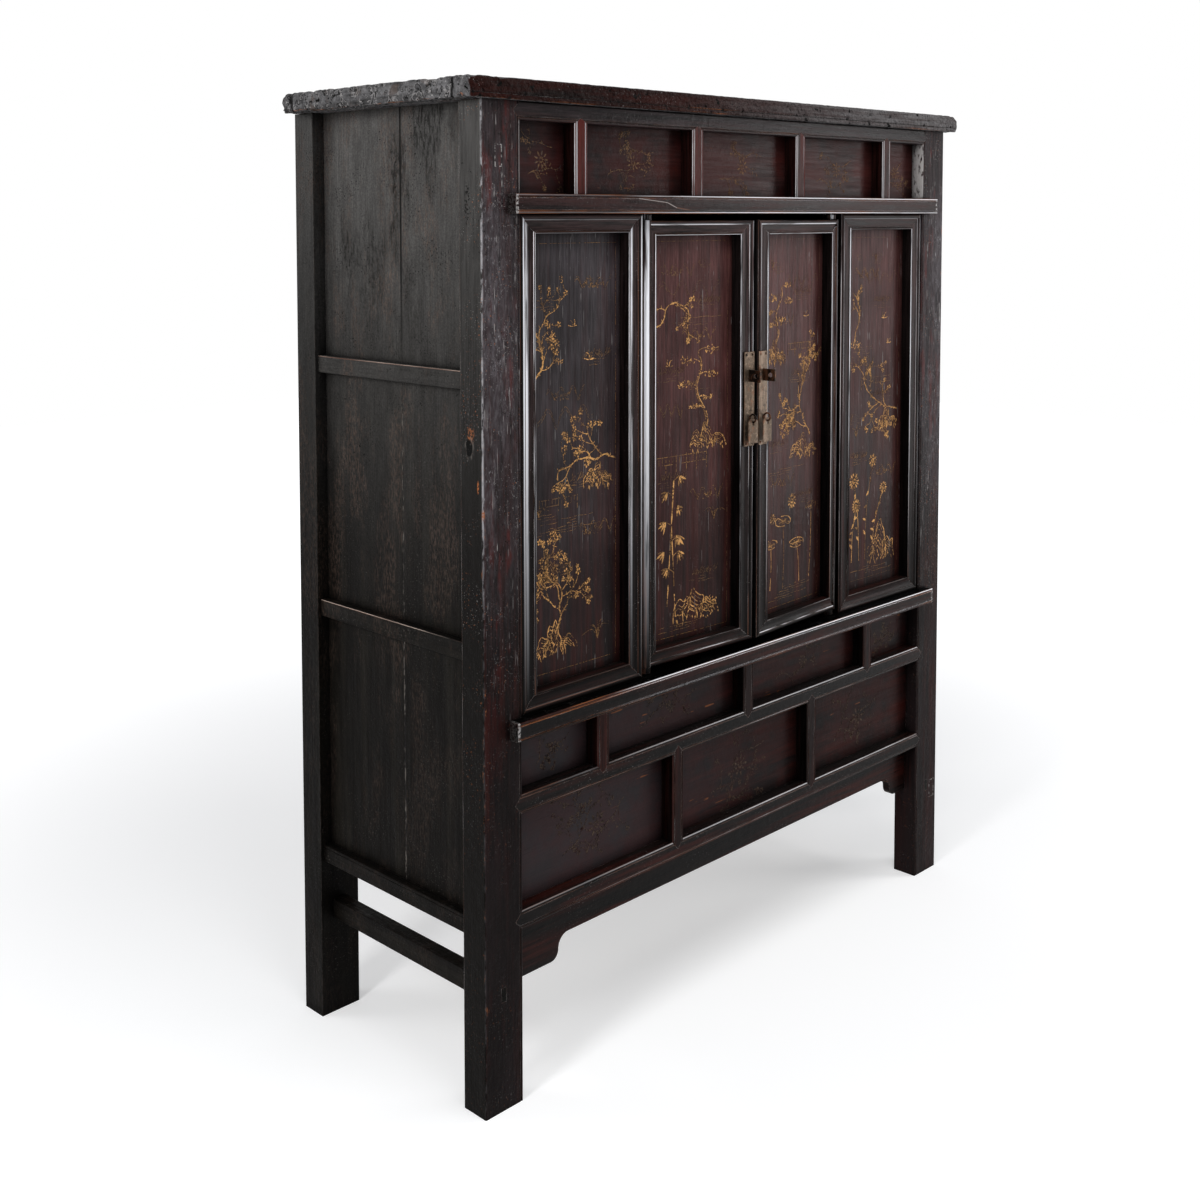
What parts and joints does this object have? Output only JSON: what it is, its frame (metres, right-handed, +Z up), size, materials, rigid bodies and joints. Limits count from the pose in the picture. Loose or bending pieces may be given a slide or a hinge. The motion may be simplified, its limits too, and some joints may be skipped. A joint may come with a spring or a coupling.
{
  "type": "chinese wedding cabinet",
  "caption": "Tall lacquered wedding cabinet with panelled doors between fixed leaves, a shelf, a hidden well under loose floor boards and brass lock plates.",
  "frame": {"origin": "on the floor, under the middle of the whole cabinet's box as it stands with its doors ajar", "axes": "+X to the right as seen from the front, +Y from the front to the back, +Z up"},
  "size_m": [1.591, 0.6004, 1.86],
  "materials": {
    "front_lacquer": "near black lacquer over oxblood, worn red brown on the edges, soft sheen",
    "panel_lacquer": "dark red brown lacquer with worn gilt painting",
    "side_lacquer": "grey black lacquer, streaked along the boards",
    "top_lacquer": "rough, pitted, worn dark lacquer",
    "inner_wood": "bare aged softwood",
    "brass": "brown tarnished brass"
  },
  "bodies": {
    "carcass": {"apron": "front_lacquer", "back_frame": "inner_wood", "back_panels": "inner_wood", "bottom_rail": "front_lacquer", "floor_boards": "inner_wood", "floor_joists": "inner_wood", "head_rail": "front_lacquer", "inner_bearers": "inner_wood", "left_leaf_panel": "panel_lacquer", "left_leaf_rails": "front_lacquer", "left_leaf_stiles": "front_lacquer", "left_side_panels": "side_lacquer", "left_side_rails": "side_lacquer", "lower_door_rail": "front_lacquer", "lower_panels": "panel_lacquer", "lower_uprights": "front_lacquer", "middle_panels": "panel_lacquer", "middle_rail": "front_lacquer", "middle_uprights": "front_lacquer", "post_back_left": "side_lacquer", "post_back_right": "side_lacquer", "post_front_left": "front_lacquer", "post_front_right": "front_lacquer", "right_leaf_panel": "panel_lacquer", "right_leaf_rails": "front_lacquer", "right_leaf_stiles": "front_lacquer", "right_side_panels": "side_lacquer", "right_side_rails": "side_lacquer", "shelf_boards": "inner_wood", "stretchers": "side_lacquer", "top_back_rail": "top_lacquer", "top_battens": "inner_wood", "top_boards": "top_lacquer", "top_ends": "top_lacquer", "top_front_rail": "top_lacquer", "upper_door_rail": "front_lacquer", "upper_panels": "panel_lacquer", "upper_uprights": "front_lacquer", "well_boards": "inner_wood"},
    "left_door": {"left_door_battens": "inner_wood", "left_door_hinge_stile": "front_lacquer", "left_door_meeting_stile": "front_lacquer", "left_door_panel": "panel_lacquer", "left_door_rails": "front_lacquer", "left_lock_lug": "brass", "left_lock_plate": "brass", "left_plate_fixings": "brass"},
    "right_door": {"right_door_battens": "inner_wood", "right_door_hinge_stile": "front_lacquer", "right_door_meeting_stile": "front_lacquer", "right_door_panel": "panel_lacquer", "right_door_rails": "front_lacquer", "right_lock_lug": "brass", "right_lock_plate": "brass", "right_plate_fixings": "brass"},
    "left_pull": {"left_pull": "brass"},
    "right_pull": {"right_pull": "brass"},
    "left_lid": {"left_lid": "inner_wood"},
    "right_lid": {"right_lid": "inner_wood"}
  },
  "joints": [
    {"name": "left_door_hinge", "type": "hinge", "parent": "carcass", "child": "left_door", "pos_m": [-0.31, -0.23078, 1.1705], "axis": [0, 0, -1], "range_deg": [-2.7, 92]},
    {"name": "left_pull_hinge", "type": "hinge", "parent": "left_door", "child": "left_pull", "pos_m": [-0.02026, -0.27508, 1.19536], "axis": [-0.9989, 0.0471, 0], "range_deg": [-8, 100]},
    {"name": "left_lid_lift", "type": "slide", "parent": "carcass", "child": "left_lid", "axis": [0, 0, 1], "range_m": [0, 0.3]},
    {"name": "right_door_hinge", "type": "hinge", "parent": "carcass", "child": "right_door", "pos_m": [0.31, -0.23078, 1.1705], "axis": [0, 0, 1], "range_deg": [-3.7, 91]},
    {"name": "right_pull_hinge", "type": "hinge", "parent": "right_door", "child": "right_pull", "pos_m": [0.02108, -0.28013, 1.19536], "axis": [-0.9979, -0.0645, 0], "range_deg": [-8, 100]},
    {"name": "right_lid_lift", "type": "slide", "parent": "carcass", "child": "right_lid", "axis": [0, 0, 1], "range_m": [0, 0.3]}
  ]
}
